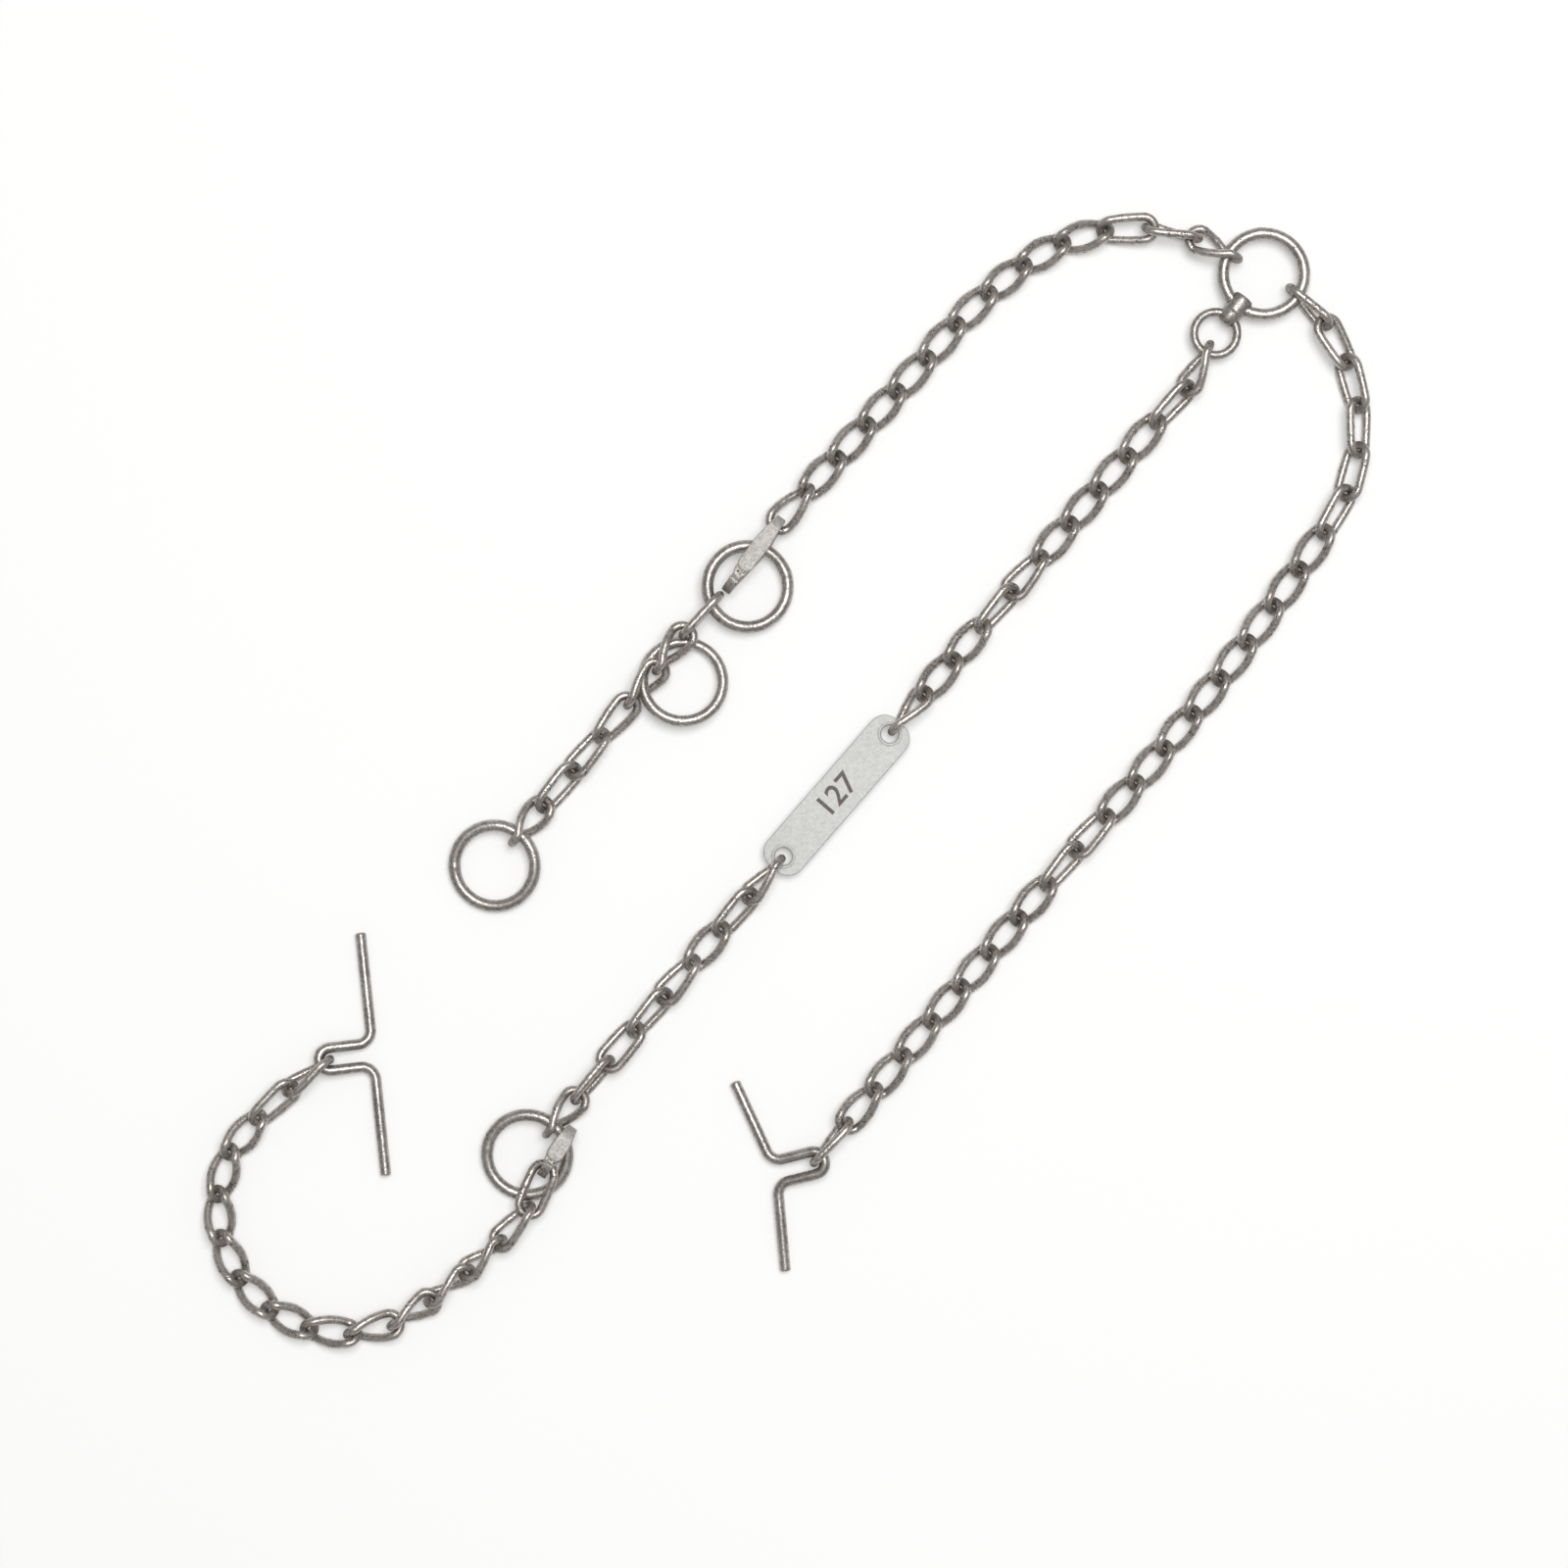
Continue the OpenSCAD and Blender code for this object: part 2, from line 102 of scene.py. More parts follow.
# bends: [links, heading, turn a link]; rolls: [links, roll, twist, step of roll]
BENDS = {
    "a": [[5, 154, 14], [3, 219, 5], [5, 228, 0]],
    "b": [[1, 243, 0], [1, 227, 0], [9, 229.5, 0]],
    "c": [[6, -45, -15], [9, -124, -1], [9, -130, 0]],
    "d": [[1, 227, 0], [1, 233, 0], [5, 230, 0]],
    "e": [[8, 229.5, 0]],
    "f": [[1, 247, 0], [4, 228, -5], [7, 194, -20], [3, 50, -7]],
}
T = LINK_TWIST
ROLLS = {
    "a": [[1, 50, 40, 0], [1, 80, 10, 0], [1, -26, 12, 0], [3, 0, T + 6, 0],
          [6, 0, T, 0], [1, 32, 34, 0]],
    "b": [[1, 62, 28, 0], [1, -54, 4, 0], [4, 0, T, 0], [1, 41, 17, 0],
          [1, -56, 6, 0], [2, 0, T, 0], [1, 66, -24, 0]],
    "c": [[1, 80, 10, 0], [1, -30, 12, 0], [1, 46, -4, 0], [1, -42, 3, 0],
          [1, 42, 3, 0], [1, -45, 3, 0], [7, 0, T, 0], [1, 10, T, 0],
          [1, 42, 10, 0], [1, -50, 6, 0], [4, 0, T, 0], [3, 8, T, 6], [1, 83, -7, 0]],
    "d": [[1, -90, 0, 0], [1, -47, 44, 0], [1, -54, 35, 0], [1, -34, 18, 0],
          [1, 42, 8, 0], [1, -45, 5, 0], [1, -36, 54, 0]],
    "e": [[1, 68, 22, 0], [1, -45, 5, 0], [1, 0, T, 0], [1, 41, 17, 0],
          [1, -50, 6, 0], [1, 25, 8, 0], [1, -72, 2, 0], [1, -45, 45, 0]],
    "f": [[1, 2, 8, 0], [1, 50, 20, 0], [5, 75, T, 25], [6, 0, T + 8, 0],
          [1, 42, 8, 0], [1, -73, 17, 0]],
}


# Layout

def aim(angle):
    return Vector((cos(radians(angle)), sin(radians(angle))))


def turn(angle, axis):
    return Matrix.Rotation(radians(angle), 4, axis)


def row_of(rows, k):
    """The table row that holds link k, and the link's number in that row."""
    for row in rows[:-1]:
        if k < row[0]:
            return row, k
        k -= row[0]
    return rows[-1], k


class Strand:
    """Hooked links between seats, as the solids lay them out.

    The first raised seats lie no lower than raised_z, and the last no lower
    than last_z. step is the way from seat to seat.
    """

    def __init__(self, letter, start, links, step, raised, raised_z, last_z):
        self.bends, self.rolls = BENDS[letter], ROLLS[letter]
        self.start, self.links, self.step = Vector(start), links, step
        self.raised, self.raised_z, self.last_z = raised, raised_z, last_z
        self.seats = [self.start.copy()]
        for k in range(links):
            rise = self.seat_z(k + 1) - self.seat_z(k)
            self.seats.append(self.seats[-1]
                              + sqrt(step**2 - rise**2)*aim(self.heading(k)))

    def heading(self, k):
        row, j = row_of(self.bends, k)
        return row[1] + row[2]*j

    def roll(self, k):
        row, j = row_of(self.rolls, k)
        return row[1] + row[3]*j

    def twist(self, k):
        return row_of(self.rolls, k)[0][2]

    def lift(self, k, bow_roll):
        """How high a link's middle lies with its side and this bow on the floor."""
        return LINK_WIRE/2 + max(SIDE_R*abs(sin(radians(self.roll(k)))),
                                 BOW_R*abs(sin(radians(bow_roll))))

    def seat_z(self, k):
        z = [0]
        if k > 0:
            z.append(self.lift(k - 1, self.roll(k - 1) - self.twist(k - 1)))
        if k < self.links:
            z.append(self.lift(k, self.roll(k) + self.twist(k)))
        if k < self.raised:
            z.append(self.raised_z)
        if k == self.links:
            z.append(self.last_z)
        return max(z)

    @property
    def end(self):
        return self.seats[-1]

    @property
    def end_heading(self):
        return self.heading(self.links - 1)

    def place(self, k):
        """From a link's own frame to its place in the strand."""
        a, b = self.seats[k], self.seats[k + 1]
        za, zb = self.seat_z(k), self.seat_z(k + 1)
        tilt = -degrees(asin((zb - za)/self.step))
        return (Matrix.Translation(((a.x + b.x)/2, (a.y + b.y)/2, (za + zb)/2))
                @ turn(self.heading(k), "Z") @ turn(tilt, "Y")
                @ turn(self.roll(k), "X"))


BIG_XY = Vector((276, 293.2))
STRAND_A = Strand("a", BIG_XY + TO_RING*aim(150), 13, LINK_PITCH, 1, HOOK_Z, HOOK_Z)
STRAND_C = Strand("c", BIG_XY + TO_RING*aim(-30), 24, LINK_PITCH, 1, HOOK_Z, HOOK_Z)
SWIVEL_AIM = -129
BORE_GAP = RING_WIRE/2 + BORE_PLAY + BORE_WEB + BORE_PLAY + EYE_WIRE/2
EYE_XY = BIG_XY + (RING_R + BORE_GAP + EYE_R)*aim(SWIVEL_AIM)
STRAND_B = Strand("b", EYE_XY + TO_EYE*aim(-117), 11, LINK_PITCH, 1, HOOK_Z, TAG_Z)
LAP_A_AIM, LAP_A_Z = 232.5, STRAP + LAP_INNER/2 + 0.4
LAP_A_XY = STRAND_A.end - (STRAP + STRAP_PLAY)*aim(LAP_A_AIM)
RING_3_XY = STRAND_A.end + Vector((-17, -36))
STRAND_D = Strand("d", RING_3_XY + (TO_RING - 0.3)*aim(202), 7, LINK_PITCH, 3,
                  12.1, HOOK_Z)
RING_2_XY = STRAND_D.seats[2] + Vector((13.7, -8.1))
RING_1_XY = STRAND_D.end + TO_RING*aim(232)
TAG_AIM = 229
HOLE_1 = STRAND_B.end + TO_HOLE*aim(STRAND_B.end_heading)
HOLE_2 = HOLE_1 + HOLE_SPAN*aim(TAG_AIM)
STRAND_E = Strand("e", HOLE_2 + TO_HOLE*aim(229.5), 8, LINK_PITCH - SLACK, 1,
                  TAG_Z, HOOK_Z)
RING_4_XY = STRAND_E.end + TO_RING*aim(228)
LAP_B_AIM, LAP_B_Z, LAP_B_RISE = 236.5, 9.3, 3.4
LAP_B_GAP = 2.5
LAP_B_XY = (RING_4_XY + RING_R*aim(22)
            - (RING_WIRE/2 + LAP_B_GAP + STRAP)*aim(LAP_B_AIM))
LAP_B_REACH = LAP_B_LENGTH - STRAP - STRAP_PLAY
STRAND_F = Strand("f", LAP_B_XY + LAP_B_REACH*cos(radians(LAP_B_RISE))*aim(LAP_B_AIM),
                  15, LINK_PITCH - SLACK, 2,
                  LAP_B_Z + LAP_B_REACH*sin(radians(LAP_B_RISE)), HOOK_Z)


# Wire paths

# half the length of a weld bead
LINK_WELD, RING_WELD = 1.3, 1.8
# a cut rod's end: how far each step is from the tip, and its part of the width
TIP_START = 1.2
TIP_GAPS, TIP_WIDTHS = (1.1, 0.7, 0.36, 0.12, 0), [1.0, 0.95, 0.85, 0.70, 0.50]


def placed(name, data):
    """A new object in the scene."""
    obj = bpy.data.objects.new(name, data)
    bpy.context.scene.collection.objects.link(obj)
    return obj


def arc(radius, low, high, count):
    """count + 1 points of an arc round Z, angles in degrees."""
    steps = [radians(low + (high - low)*i/count) for i in range(count + 1)]
    return [Vector((radius*cos(t), radius*sin(t), 0)) for t in steps]


def link_path(t):
    """A link's centreline: (point, nearness to the seat where painted shade and dirt go,
    nearness to the weld).

    The bows and sides stop short of where they meet, and the curve through
    the points rounds what lies between them.
    """
    path = []
    bow_end, bow_steps = BOW_HALF - 8, 10
    for half in (0, 180):
        bow = turn(half, "Z") @ turn(-t, "X")
        for i, p in enumerate(arc(BOW_R, -bow_end, bow_end, bow_steps)):
            # nearness to the seat, where the next link touches: the link steel paints
            # shade there, with some dirt
            seat_shade_and_grime = max(0.0, 1 - abs(i - bow_steps/2)/4)
            path.append((bow @ (p + Vector((APEX - BOW_R, 0, 0))), seat_shade_and_grime, 0.0))
        rise, reach = KINK_Y*sin(radians(t)), KINK_Y*cos(radians(t))
        chord = hypot(KINK_X, rise)
        sag = SIDE_R - reach
        r = (chord**2 + sag**2)/(2*sag)
        side_half = degrees(asin(chord/r))
        tilt = degrees(atan2(rise, KINK_X))
        side = (turn(half, "X") @ Matrix.Translation((0, SIDE_R - r, 0))
                @ turn(tilt, "Y") @ turn(90, "Z"))
        points = [side @ p for p in arc(r, -side_half*0.9, side_half*0.9, 12)]
        for p in reversed(points) if half else points:
            near_weld = exp(-(p.x/LINK_WELD)**2) if half else 0.0
            path.append((p, 0.0, near_weld))
    return path


def ring_path(xy, wire, up, high, low, weld_at, inner):
    """A ring's centreline, leaning up towards one side."""
    r = (inner + wire)/2
    lean = degrees(asin((high - low)/(2*r)))
    place = (Matrix.Translation((xy.x, xy.y, (high + low)/2))
             @ turn(up, "Z") @ turn(-lean, "Y"))
    count = 72
    path = []
    for i, p in enumerate(arc(r, 0, 360, count)[:-1]):
        away = (i*360/count - weld_at + 180) % 360 - 180
        path.append((place @ p, 0.0, exp(-(radians(away)*r/RING_WELD)**2)))
    return path


def toggle_path(strand, out, arm, lead):
    """A toggle's centreline from tip to tip, and the rod's width along it."""
    rest = (arm - TOGGLE_R - TOGGLE_BEND*(1 - sin(radians(lead))))/cos(radians(lead))
    tip_x = (TOGGLE_LEG - TOGGLE_BEND*(1 - cos(radians(lead)))
             + rest*sin(radians(lead)))
    xy = strand.end + TO_TOGGLE*aim(strand.end_heading)
    near = TOGGLE_R*cos(radians(out - strand.end_heading))
    dip = degrees(asin((strand.seat_z(strand.links) - ROD/2)/(tip_x + near)))
    place = (Matrix.Translation((xy.x, xy.y, ROD/2 + tip_x*sin(radians(dip))))
             @ turn(out, "Z") @ turn(dip, "Y"))
    bend_x, corner = TOGGLE_LEG - TOGGLE_BEND, 90 - lead
    half = [Vector((bend_x*i/8, TOGGLE_R, 0)) for i in range(8)]
    centre = Vector((bend_x, TOGGLE_R + TOGGLE_BEND, 0))
    half += [p + centre for p in arc(TOGGLE_BEND, -90, -90 + corner, 12)]
    along = Vector((cos(radians(corner)), sin(radians(corner)), 0))
    elbow = half[-1]
    count = ceil(rest/4)
    half += [elbow + along*(rest - TIP_START)*i/count for i in range(1, count + 1)]
    wide = [1.0]*len(half) + TIP_WIDTHS
    half += [elbow + along*(rest - gap) for gap in TIP_GAPS]
    bow = arc(TOGGLE_R, 270, 90, 12)[1:-1]
    flip = Matrix.Scale(-1, 4, Vector((0, 1, 0)))
    points = [flip @ p for p in reversed(half)] + bow + half
    thick = wide[::-1] + [1.0]*len(bow) + wide
    return [(place @ p, 0.0, 0.0) for p in points], thick


def edges_object(name, loops, closed):
    """Loops of points as bare edges, each point with its width, its nearness to a seat
    (where painted shade and dirt go) and its nearness to a weld.
    """
    mesh = bpy.data.meshes.new(name)
    points, edges, thick, seat_shade_and_grime, weld = [], [], [], [], []
    for path, widths in loops:
        first = len(points)
        for (p, seat, near_weld), wide in zip(path, widths):
            points.append(p*MM)
            thick.append(wide)
            seat_shade_and_grime.append(seat)
            weld.append(near_weld)
        last = len(points) - 1
        edges += [(i, i + 1) for i in range(first, last)]
        if closed:
            edges.append((last, first))
    mesh.from_pydata(points, edges, [])
    for label, values in (("thick", thick), ("seat_shade_and_grime", seat_shade_and_grime), ("weld", weld)):
        layer = mesh.attributes.new(label, "FLOAT", "POINT")
        layer.data.foreach_set("value", values)
    return placed(name, mesh)


# Geometry nodes

def tree_with(name, sockets):
    tree = bpy.data.node_groups.new(name, "GeometryNodeTree")
    tree.interface.new_socket("Geometry", in_out="INPUT",
                              socket_type="NodeSocketGeometry")
    for label, kind, value in sockets:
        socket = tree.interface.new_socket(label, in_out="INPUT", socket_type=kind)
        if value is not None:
            socket.default_value = value
    tree.interface.new_socket("Geometry", in_out="OUTPUT",
                              socket_type="NodeSocketGeometry")
    return tree


def adder(tree):
    """Makes nodes: add(type, {socket: value or output}, property=value)."""
    def add(kind, wires=None, **props):
        node = tree.nodes.new(kind)
        for key, value in props.items():
            setattr(node, key, value)
        for key, value in (wires or {}).items():
            socket = node.inputs[key]
            if isinstance(value, bpy.types.NodeSocket):
                tree.links.new(value, socket)
            else:
                socket.default_value = value
        return node
    return add


def bent_wire_tree():
    """Sweeps round wire along bare edges, with a weld and a rolled, dented skin."""
    tree = tree_with("Bent wire", [
        ("Wire Radius", "NodeSocketFloat", 0.0025),
        ("Facets Round", "NodeSocketInt", 20),
        ("Step Along", "NodeSocketFloat", 0.0008),
        ("Weld Height", "NodeSocketFloat", 0.00015),
        ("Dent Depth", "NodeSocketFloat", 0.00008),
        ("Dents per Metre", "NodeSocketFloat", 230.0),
        ("Seed", "NodeSocketFloat", 0.0),
        ("Steel", "NodeSocketMaterial", None)])
    add = adder(tree)
    given = tree.nodes.new("NodeGroupInput").outputs
    thick = add("GeometryNodeInputNamedAttribute", {"Name": "thick"}, data_type="FLOAT")
    weld = add("GeometryNodeInputNamedAttribute", {"Name": "weld"}, data_type="FLOAT")
    curve = add("GeometryNodeMeshToCurve", {"Mesh": given["Geometry"]})
    smooth = add("GeometryNodeCurveSplineType", {"Curve": curve.outputs[0]},
                 spline_type="CATMULL_ROM")
    even = add("GeometryNodeResampleCurve", {"Curve": smooth.outputs[0],
                                            "Length": given["Step Along"]},
               mode="LENGTH")
    body = add("ShaderNodeMath", {0: given["Wire Radius"],
                                  1: thick.outputs["Attribute"]}, operation="MULTIPLY")
    bead = add("ShaderNodeMath", {0: given["Weld Height"],
                                  1: weld.outputs["Attribute"]}, operation="MULTIPLY")
    wide = add("ShaderNodeMath", {0: body.outputs[0], 1: bead.outputs[0]},
               operation="ADD")
    section = add("GeometryNodeCurvePrimitiveCircle",
                  {"Resolution": given["Facets Round"], "Radius": 1.0}, mode="RADIUS")
    sweep = add("GeometryNodeCurveToMesh", {"Curve": even.outputs[0],
                                            "Profile Curve": section.outputs[0],
                                            "Scale": wide.outputs[0],
                                            "Fill Caps": True})
    dents = add("ShaderNodeTexNoise", {"W": given["Seed"], "Detail": 2.0,
                                       "Roughness": 0.6,
                                       "Scale": given["Dents per Metre"]},
                noise_dimensions="4D")
    where = tree.nodes.new("GeometryNodeInputPosition")
    tree.links.new(where.outputs[0], dents.inputs["Vector"])
    # noise above this level would stand proud; most of it lies below, as dents
    level = add("ShaderNodeMath", {0: dents.outputs[0], 1: 0.62}, operation="SUBTRACT")
    depth = add("ShaderNodeMath", {0: level.outputs[0], 1: given["Dent Depth"]},
                operation="MULTIPLY")
    # the noise spans about half its range, so the depth is doubled
    double = add("ShaderNodeMath", {0: depth.outputs[0], 1: 2.0}, operation="MULTIPLY")
    out_way = tree.nodes.new("GeometryNodeInputNormal")
    push = add("ShaderNodeVectorMath", {0: out_way.outputs[0],
                                        "Scale": double.outputs[0]}, operation="SCALE")
    dented = add("GeometryNodeSetPosition", {"Geometry": sweep.outputs[0],
                                             "Offset": push.outputs[0]})
    shaded = add("GeometryNodeSetShadeSmooth", {"Geometry": dented.outputs[0]})
    dressed = add("GeometryNodeSetMaterial", {"Geometry": shaded.outputs[0],
                                              "Material": given["Steel"]})
    end = tree.nodes.new("NodeGroupOutput")
    tree.links.new(dressed.outputs[0], end.inputs[0])
    return tree


def socket_id(tree, label):
    for item in tree.interface.items_tree:
        if item.in_out == "INPUT" and item.name == label:
            return item.identifier
    raise KeyError(label)


def grown(obj, tree, values):
    """Runs the tree on obj with these inputs, and keeps the plain mesh."""
    modifier = obj.modifiers.new("Growth", "NODES")
    modifier.node_group = tree
    for label, value in values.items():
        modifier[socket_id(tree, label)] = value
    return baked(obj)


def baked(obj):
    """obj with its modifiers taken into a plain mesh."""
    graph = bpy.context.evaluated_depsgraph_get()
    mesh = bpy.data.meshes.new_from_object(obj.evaluated_get(graph), depsgraph=graph)
    obj.modifiers.clear()
    old = obj.data
    obj.data = mesh
    bpy.data.meshes.remove(old)
    mesh.name = obj.name
    return obj


# Materials

def shade_group(name, inputs, outputs):
    tree = bpy.data.node_groups.new(name, "ShaderNodeTree")
    for label, kind, value in inputs:
        socket = tree.interface.new_socket(label, in_out="INPUT", socket_type=kind)
        socket.default_value = value
    for label, kind in outputs:
        tree.interface.new_socket(label, in_out="OUTPUT", socket_type=kind)
    return tree


def steel_skin():
    """Rolled steel with scale, pits and rubbed specks: colour, roughness, height."""
    tree = shade_group("Rolled steel skin", [
        ("Bright", "NodeSocketColor", (0.60, 0.57, 0.54, 1)),
        ("Body", "NodeSocketColor", (0.36, 0.335, 0.31, 1)),
        ("Dark", "NodeSocketColor", (0.13, 0.115, 0.10, 1)),
        ("Grain per Metre", "NodeSocketFloat", 1100.0),
        ("Pits", "NodeSocketFloat", 0.5),
        ("Specks", "NodeSocketFloat", 0.5),
        ("Seat Shade and Grime", "NodeSocketFloat", 0.0),
        ("Roughness", "NodeSocketFloat", 0.42)],
        [("Color", "NodeSocketColor"), ("Roughness", "NodeSocketFloat"),
         ("Height", "NodeSocketFloat")])
    add = adder(tree)
    given = tree.nodes.new("NodeGroupInput").outputs
    place = tree.nodes.new("ShaderNodeTexCoord").outputs["Object"]

    def noise(scale, detail, rough=0.5):
        return add("ShaderNodeTexNoise", {"Vector": place, "Scale": scale,
                                          "Detail": detail, "Roughness": rough})

    def ramp(value, low, high, to_low=0.0, to_high=1.0):
        return add("ShaderNodeMapRange", {"Value": value, "From Min": low,
                                          "From Max": high, "To Min": to_low,
                                          "To Max": to_high},
                   interpolation_type="SMOOTHSTEP").outputs[0]

    def calc(kind, a, b):
        return add("ShaderNodeMath", {0: a, 1: b}, operation=kind).outputs[0]

    def blend(factor, a, b):
        return add("ShaderNodeMix", {"Factor": factor, 6: a, 7: b},
                   data_type="RGBA").outputs[2]

    # large patches, small mottling, fine grain, and pits that come in clusters
    patches = ramp(noise(55.0, 2.0).outputs[0], 0.38, 0.62)
    mottle = ramp(noise(420.0, 3.0, 0.65).outputs[0], 0.40, 0.66)
    grain = noise(given["Grain per Metre"], 3.0, 0.7).outputs[0]
    sparse = calc("MULTIPLY", given["Grain per Metre"], 0.55)
    cells = add("ShaderNodeTexVoronoi", {"Vector": place, "Randomness": 1.0,
                                         "Scale": sparse})
    cluster = ramp(noise(170.0, 1.0).outputs[0], 0.48, 0.58)
    spots = ramp(cells.outputs["Distance"], 0.40, 0.26)
    holes = calc("MULTIPLY", spots, cluster)
    pits = calc("MULTIPLY", holes, given["Pits"])
    scale_dark = calc("MULTIPLY", ramp(grain, 0.46, 0.66), given["Specks"])
    rubbed = calc("MULTIPLY", ramp(grain, 0.47, 0.34), given["Specks"])
    # painted shade where links touch at their seats, with some dirt: darker and rougher
    # there, broken up by noise
    shade_and_grime = calc("MULTIPLY", given["Seat Shade and Grime"],
                 ramp(noise(300.0, 2.0).outputs[0], 0.25, 0.7, 0.35, 1.0))
    # the colour is built up from the large forms to the small ones
    tone = blend(calc("MULTIPLY", patches, 0.30), given["Body"], given["Bright"])
    tone = blend(calc("MULTIPLY", mottle, 0.42), tone, given["Dark"])
    tone = blend(calc("MULTIPLY", rubbed, 0.55), tone, given["Bright"])
    tone = blend(calc("MULTIPLY", scale_dark, 0.60), tone, given["Dark"])
    tone = blend(pits, tone, given["Dark"])
    # painted shade at the seats, with some dirt
    tone = blend(calc("MULTIPLY", shade_and_grime, 0.75), tone, given["Dark"])
    rough = calc("ADD", given["Roughness"], calc("MULTIPLY", pits, 0.25))
    rough = calc("ADD", rough, ramp(grain, 0.35, 0.65, -0.08, 0.10))
    rough = calc("ADD", rough, calc("MULTIPLY", shade_and_grime, 0.15))
    height = calc("SUBTRACT", calc("MULTIPLY", grain, 0.7), pits)
    height = calc("ADD", height, calc("MULTIPLY", mottle, -0.35))
    end = tree.nodes.new("NodeGroupOutput")
    for label, value in (("Color", tone), ("Roughness", rough), ("Height", height)):
        tree.links.new(value, end.inputs[label])
    return tree


SKIN = steel_skin()


def steel(name, bright, body, dark, grain, pits, specks, rough, metal, bump, paint_seat_shade_and_grime=False):
    """A steel finish. It can darken the piece near its seats, as painted shade where links
    touch, with some dirt.

    grain is the specks in a metre, bump the depth of the skin's relief in metres.
    """
    material = bpy.data.materials.new(name)
    material.use_nodes = True
    tree = material.node_tree
    add = adder(tree)
    shader = tree.nodes["Principled BSDF"]
    skin = add("ShaderNodeGroup", node_tree=SKIN)
    for label, value in (("Bright", (*bright, 1)), ("Body", (*body, 1)),
                         ("Dark", (*dark, 1)), ("Grain per Metre", grain),
                         ("Pits", pits), ("Specks", specks), ("Roughness", rough)):
        skin.inputs[label].default_value = value
    # painted shade and dirt at the seats, where links touch
    if paint_seat_shade_and_grime:
        seat = add("ShaderNodeAttribute", attribute_name="seat_shade_and_grime")
        tree.links.new(seat.outputs["Fac"], skin.inputs["Seat Shade and Grime"])
    relief = add("ShaderNodeBump", {"Height": skin.outputs["Height"],
                                    "Strength": 0.8, "Distance": bump})
    tree.links.new(skin.outputs["Color"], shader.inputs["Base Color"])
    tree.links.new(skin.outputs["Roughness"], shader.inputs["Roughness"])
    tree.links.new(relief.outputs[0], shader.inputs["Normal"])
    shader.inputs["Metallic"].default_value = metal
    return material


# the link steel paints shade where links touch at their seats, with some dirt
LINK_STEEL = steel(
    "Link steel", bright=(0.78, 0.73, 0.685), body=(0.515, 0.472, 0.434),
    dark=(0.085, 0.073, 0.062), grain=1250.0, pits=0.90, specks=0.62,
    rough=0.36, metal=0.84, bump=0.00007, paint_seat_shade_and_grime=True)
RING_STEEL = steel(
    "Ring steel", bright=(0.80, 0.76, 0.715), body=(0.455, 0.42, 0.39),
    dark=(0.080, 0.069, 0.059), grain=1150.0, pits=0.50, specks=0.58,
    rough=0.36, metal=0.86, bump=0.00005)
ROD_STEEL = steel(
    "Toggle steel", bright=(0.86, 0.82, 0.785), body=(0.42, 0.39, 0.365),
    dark=(0.055, 0.047, 0.040), grain=1250.0, pits=0.45, specks=0.55,
    rough=0.33, metal=0.88, bump=0.00005)
STRAP_STEEL = steel(
    "Strap steel", bright=(0.60, 0.58, 0.555), body=(0.475, 0.455, 0.43),
    dark=(0.22, 0.20, 0.18), grain=1500.0, pits=0.12, specks=0.60,
    rough=0.52, metal=0.35, bump=0.00007)
NECK_STEEL = steel(
    "Pitted neck steel", bright=(0.58, 0.54, 0.50), body=(0.31, 0.28, 0.255),
    dark=(0.075, 0.063, 0.054), grain=950.0, pits=0.75, specks=0.85,
    rough=0.50, metal=0.45, bump=0.00022)
SWIVEL_STEEL = steel(
    "Swivel steel", bright=(0.66, 0.625, 0.59), body=(0.40, 0.37, 0.34),
    dark=(0.085, 0.074, 0.064), grain=1100.0, pits=0.50, specks=0.55,
    rough=0.42, metal=0.84, bump=0.00007)
PLATE_STEEL = steel(
    "Plate steel", bright=(0.60, 0.60, 0.585), body=(0.50, 0.50, 0.485),
    dark=(0.38, 0.375, 0.36), grain=1800.0, pits=0.05, specks=0.20,
    rough=0.50, metal=0.25, bump=0.00003)
INK = steel(
    "Stamped number", bright=(0.17, 0.145, 0.13), body=(0.12, 0.10, 0.09),
    dark=(0.075, 0.063, 0.055), grain=1600.0, pits=0.0, specks=0.5,
    rough=0.60, metal=0.0, bump=0.00002)

# Pieces

BODY_OF = {node: body for body, nodes in frame["record"]["behaviour"]["bodies"].items()
           for node in nodes}
WIRE = bent_wire_tree()


def carried(piece, node):
    """The piece rides on the node's body."""
    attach(piece, BODY_OF[node])


def finish(piece, node):
    """Hides the node's part, which the piece stands for, and sets the body that carries
    it.
    """
    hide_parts(node)
    carried(piece, node)


def wire_piece(name, node, loops, closed, radius, material, seed, sweep=None):
    """Sweeps a node's wire. sweep holds other values for the tree's inputs."""
    values = {"Wire Radius": radius*MM, "Seed": float(seed), "Steel": material,
              **(sweep or {})}
    finish(grown(edges_object(name, loops, closed), WIRE, values), node)


def chain(letter, strand, counts):
    """The nodes of a strand, each with the links it carries."""
    k = 0
    for i, count in enumerate(counts, 1):
        loops = []
        for _ in range(count):
            place = strand.place(k)
            path = [(place @ p, seat_shade_and_grime, weld) for p, seat_shade_and_grime, weld in link_path(strand.twist(k))]
            loops.append((path, [1.0]*len(path)))
            k += 1
        node = f"chain_{letter}_{i}"
        wire_piece(f"links_{letter}_{i}", node, loops, True, LINK_WIRE/2,
                   LINK_STEEL, seed=10*ord(letter) + i)


chain("a", STRAND_A, [2]*6 + [1])
chain("b", STRAND_B, [2]*5 + [1])
chain("c", STRAND_C, [2]*12)
chain("d", STRAND_D, [1, 2, 2, 2])
chain("e", STRAND_E, [2]*4)
chain("f", STRAND_F, [1] + [2]*7)

RING_SWEEP = {"Facets Round": 28, "Step Along": 0.0011, "Weld Height": 0.00022,
              "Dent Depth": 0.00004, "Dents per Metre": 160.0}
ROD_SWEEP = {"Facets Round": 26, "Step Along": 0.0004, "Weld Height": 0.0,
             "Dent Depth": 0.00004, "Dents per Metre": 120.0}
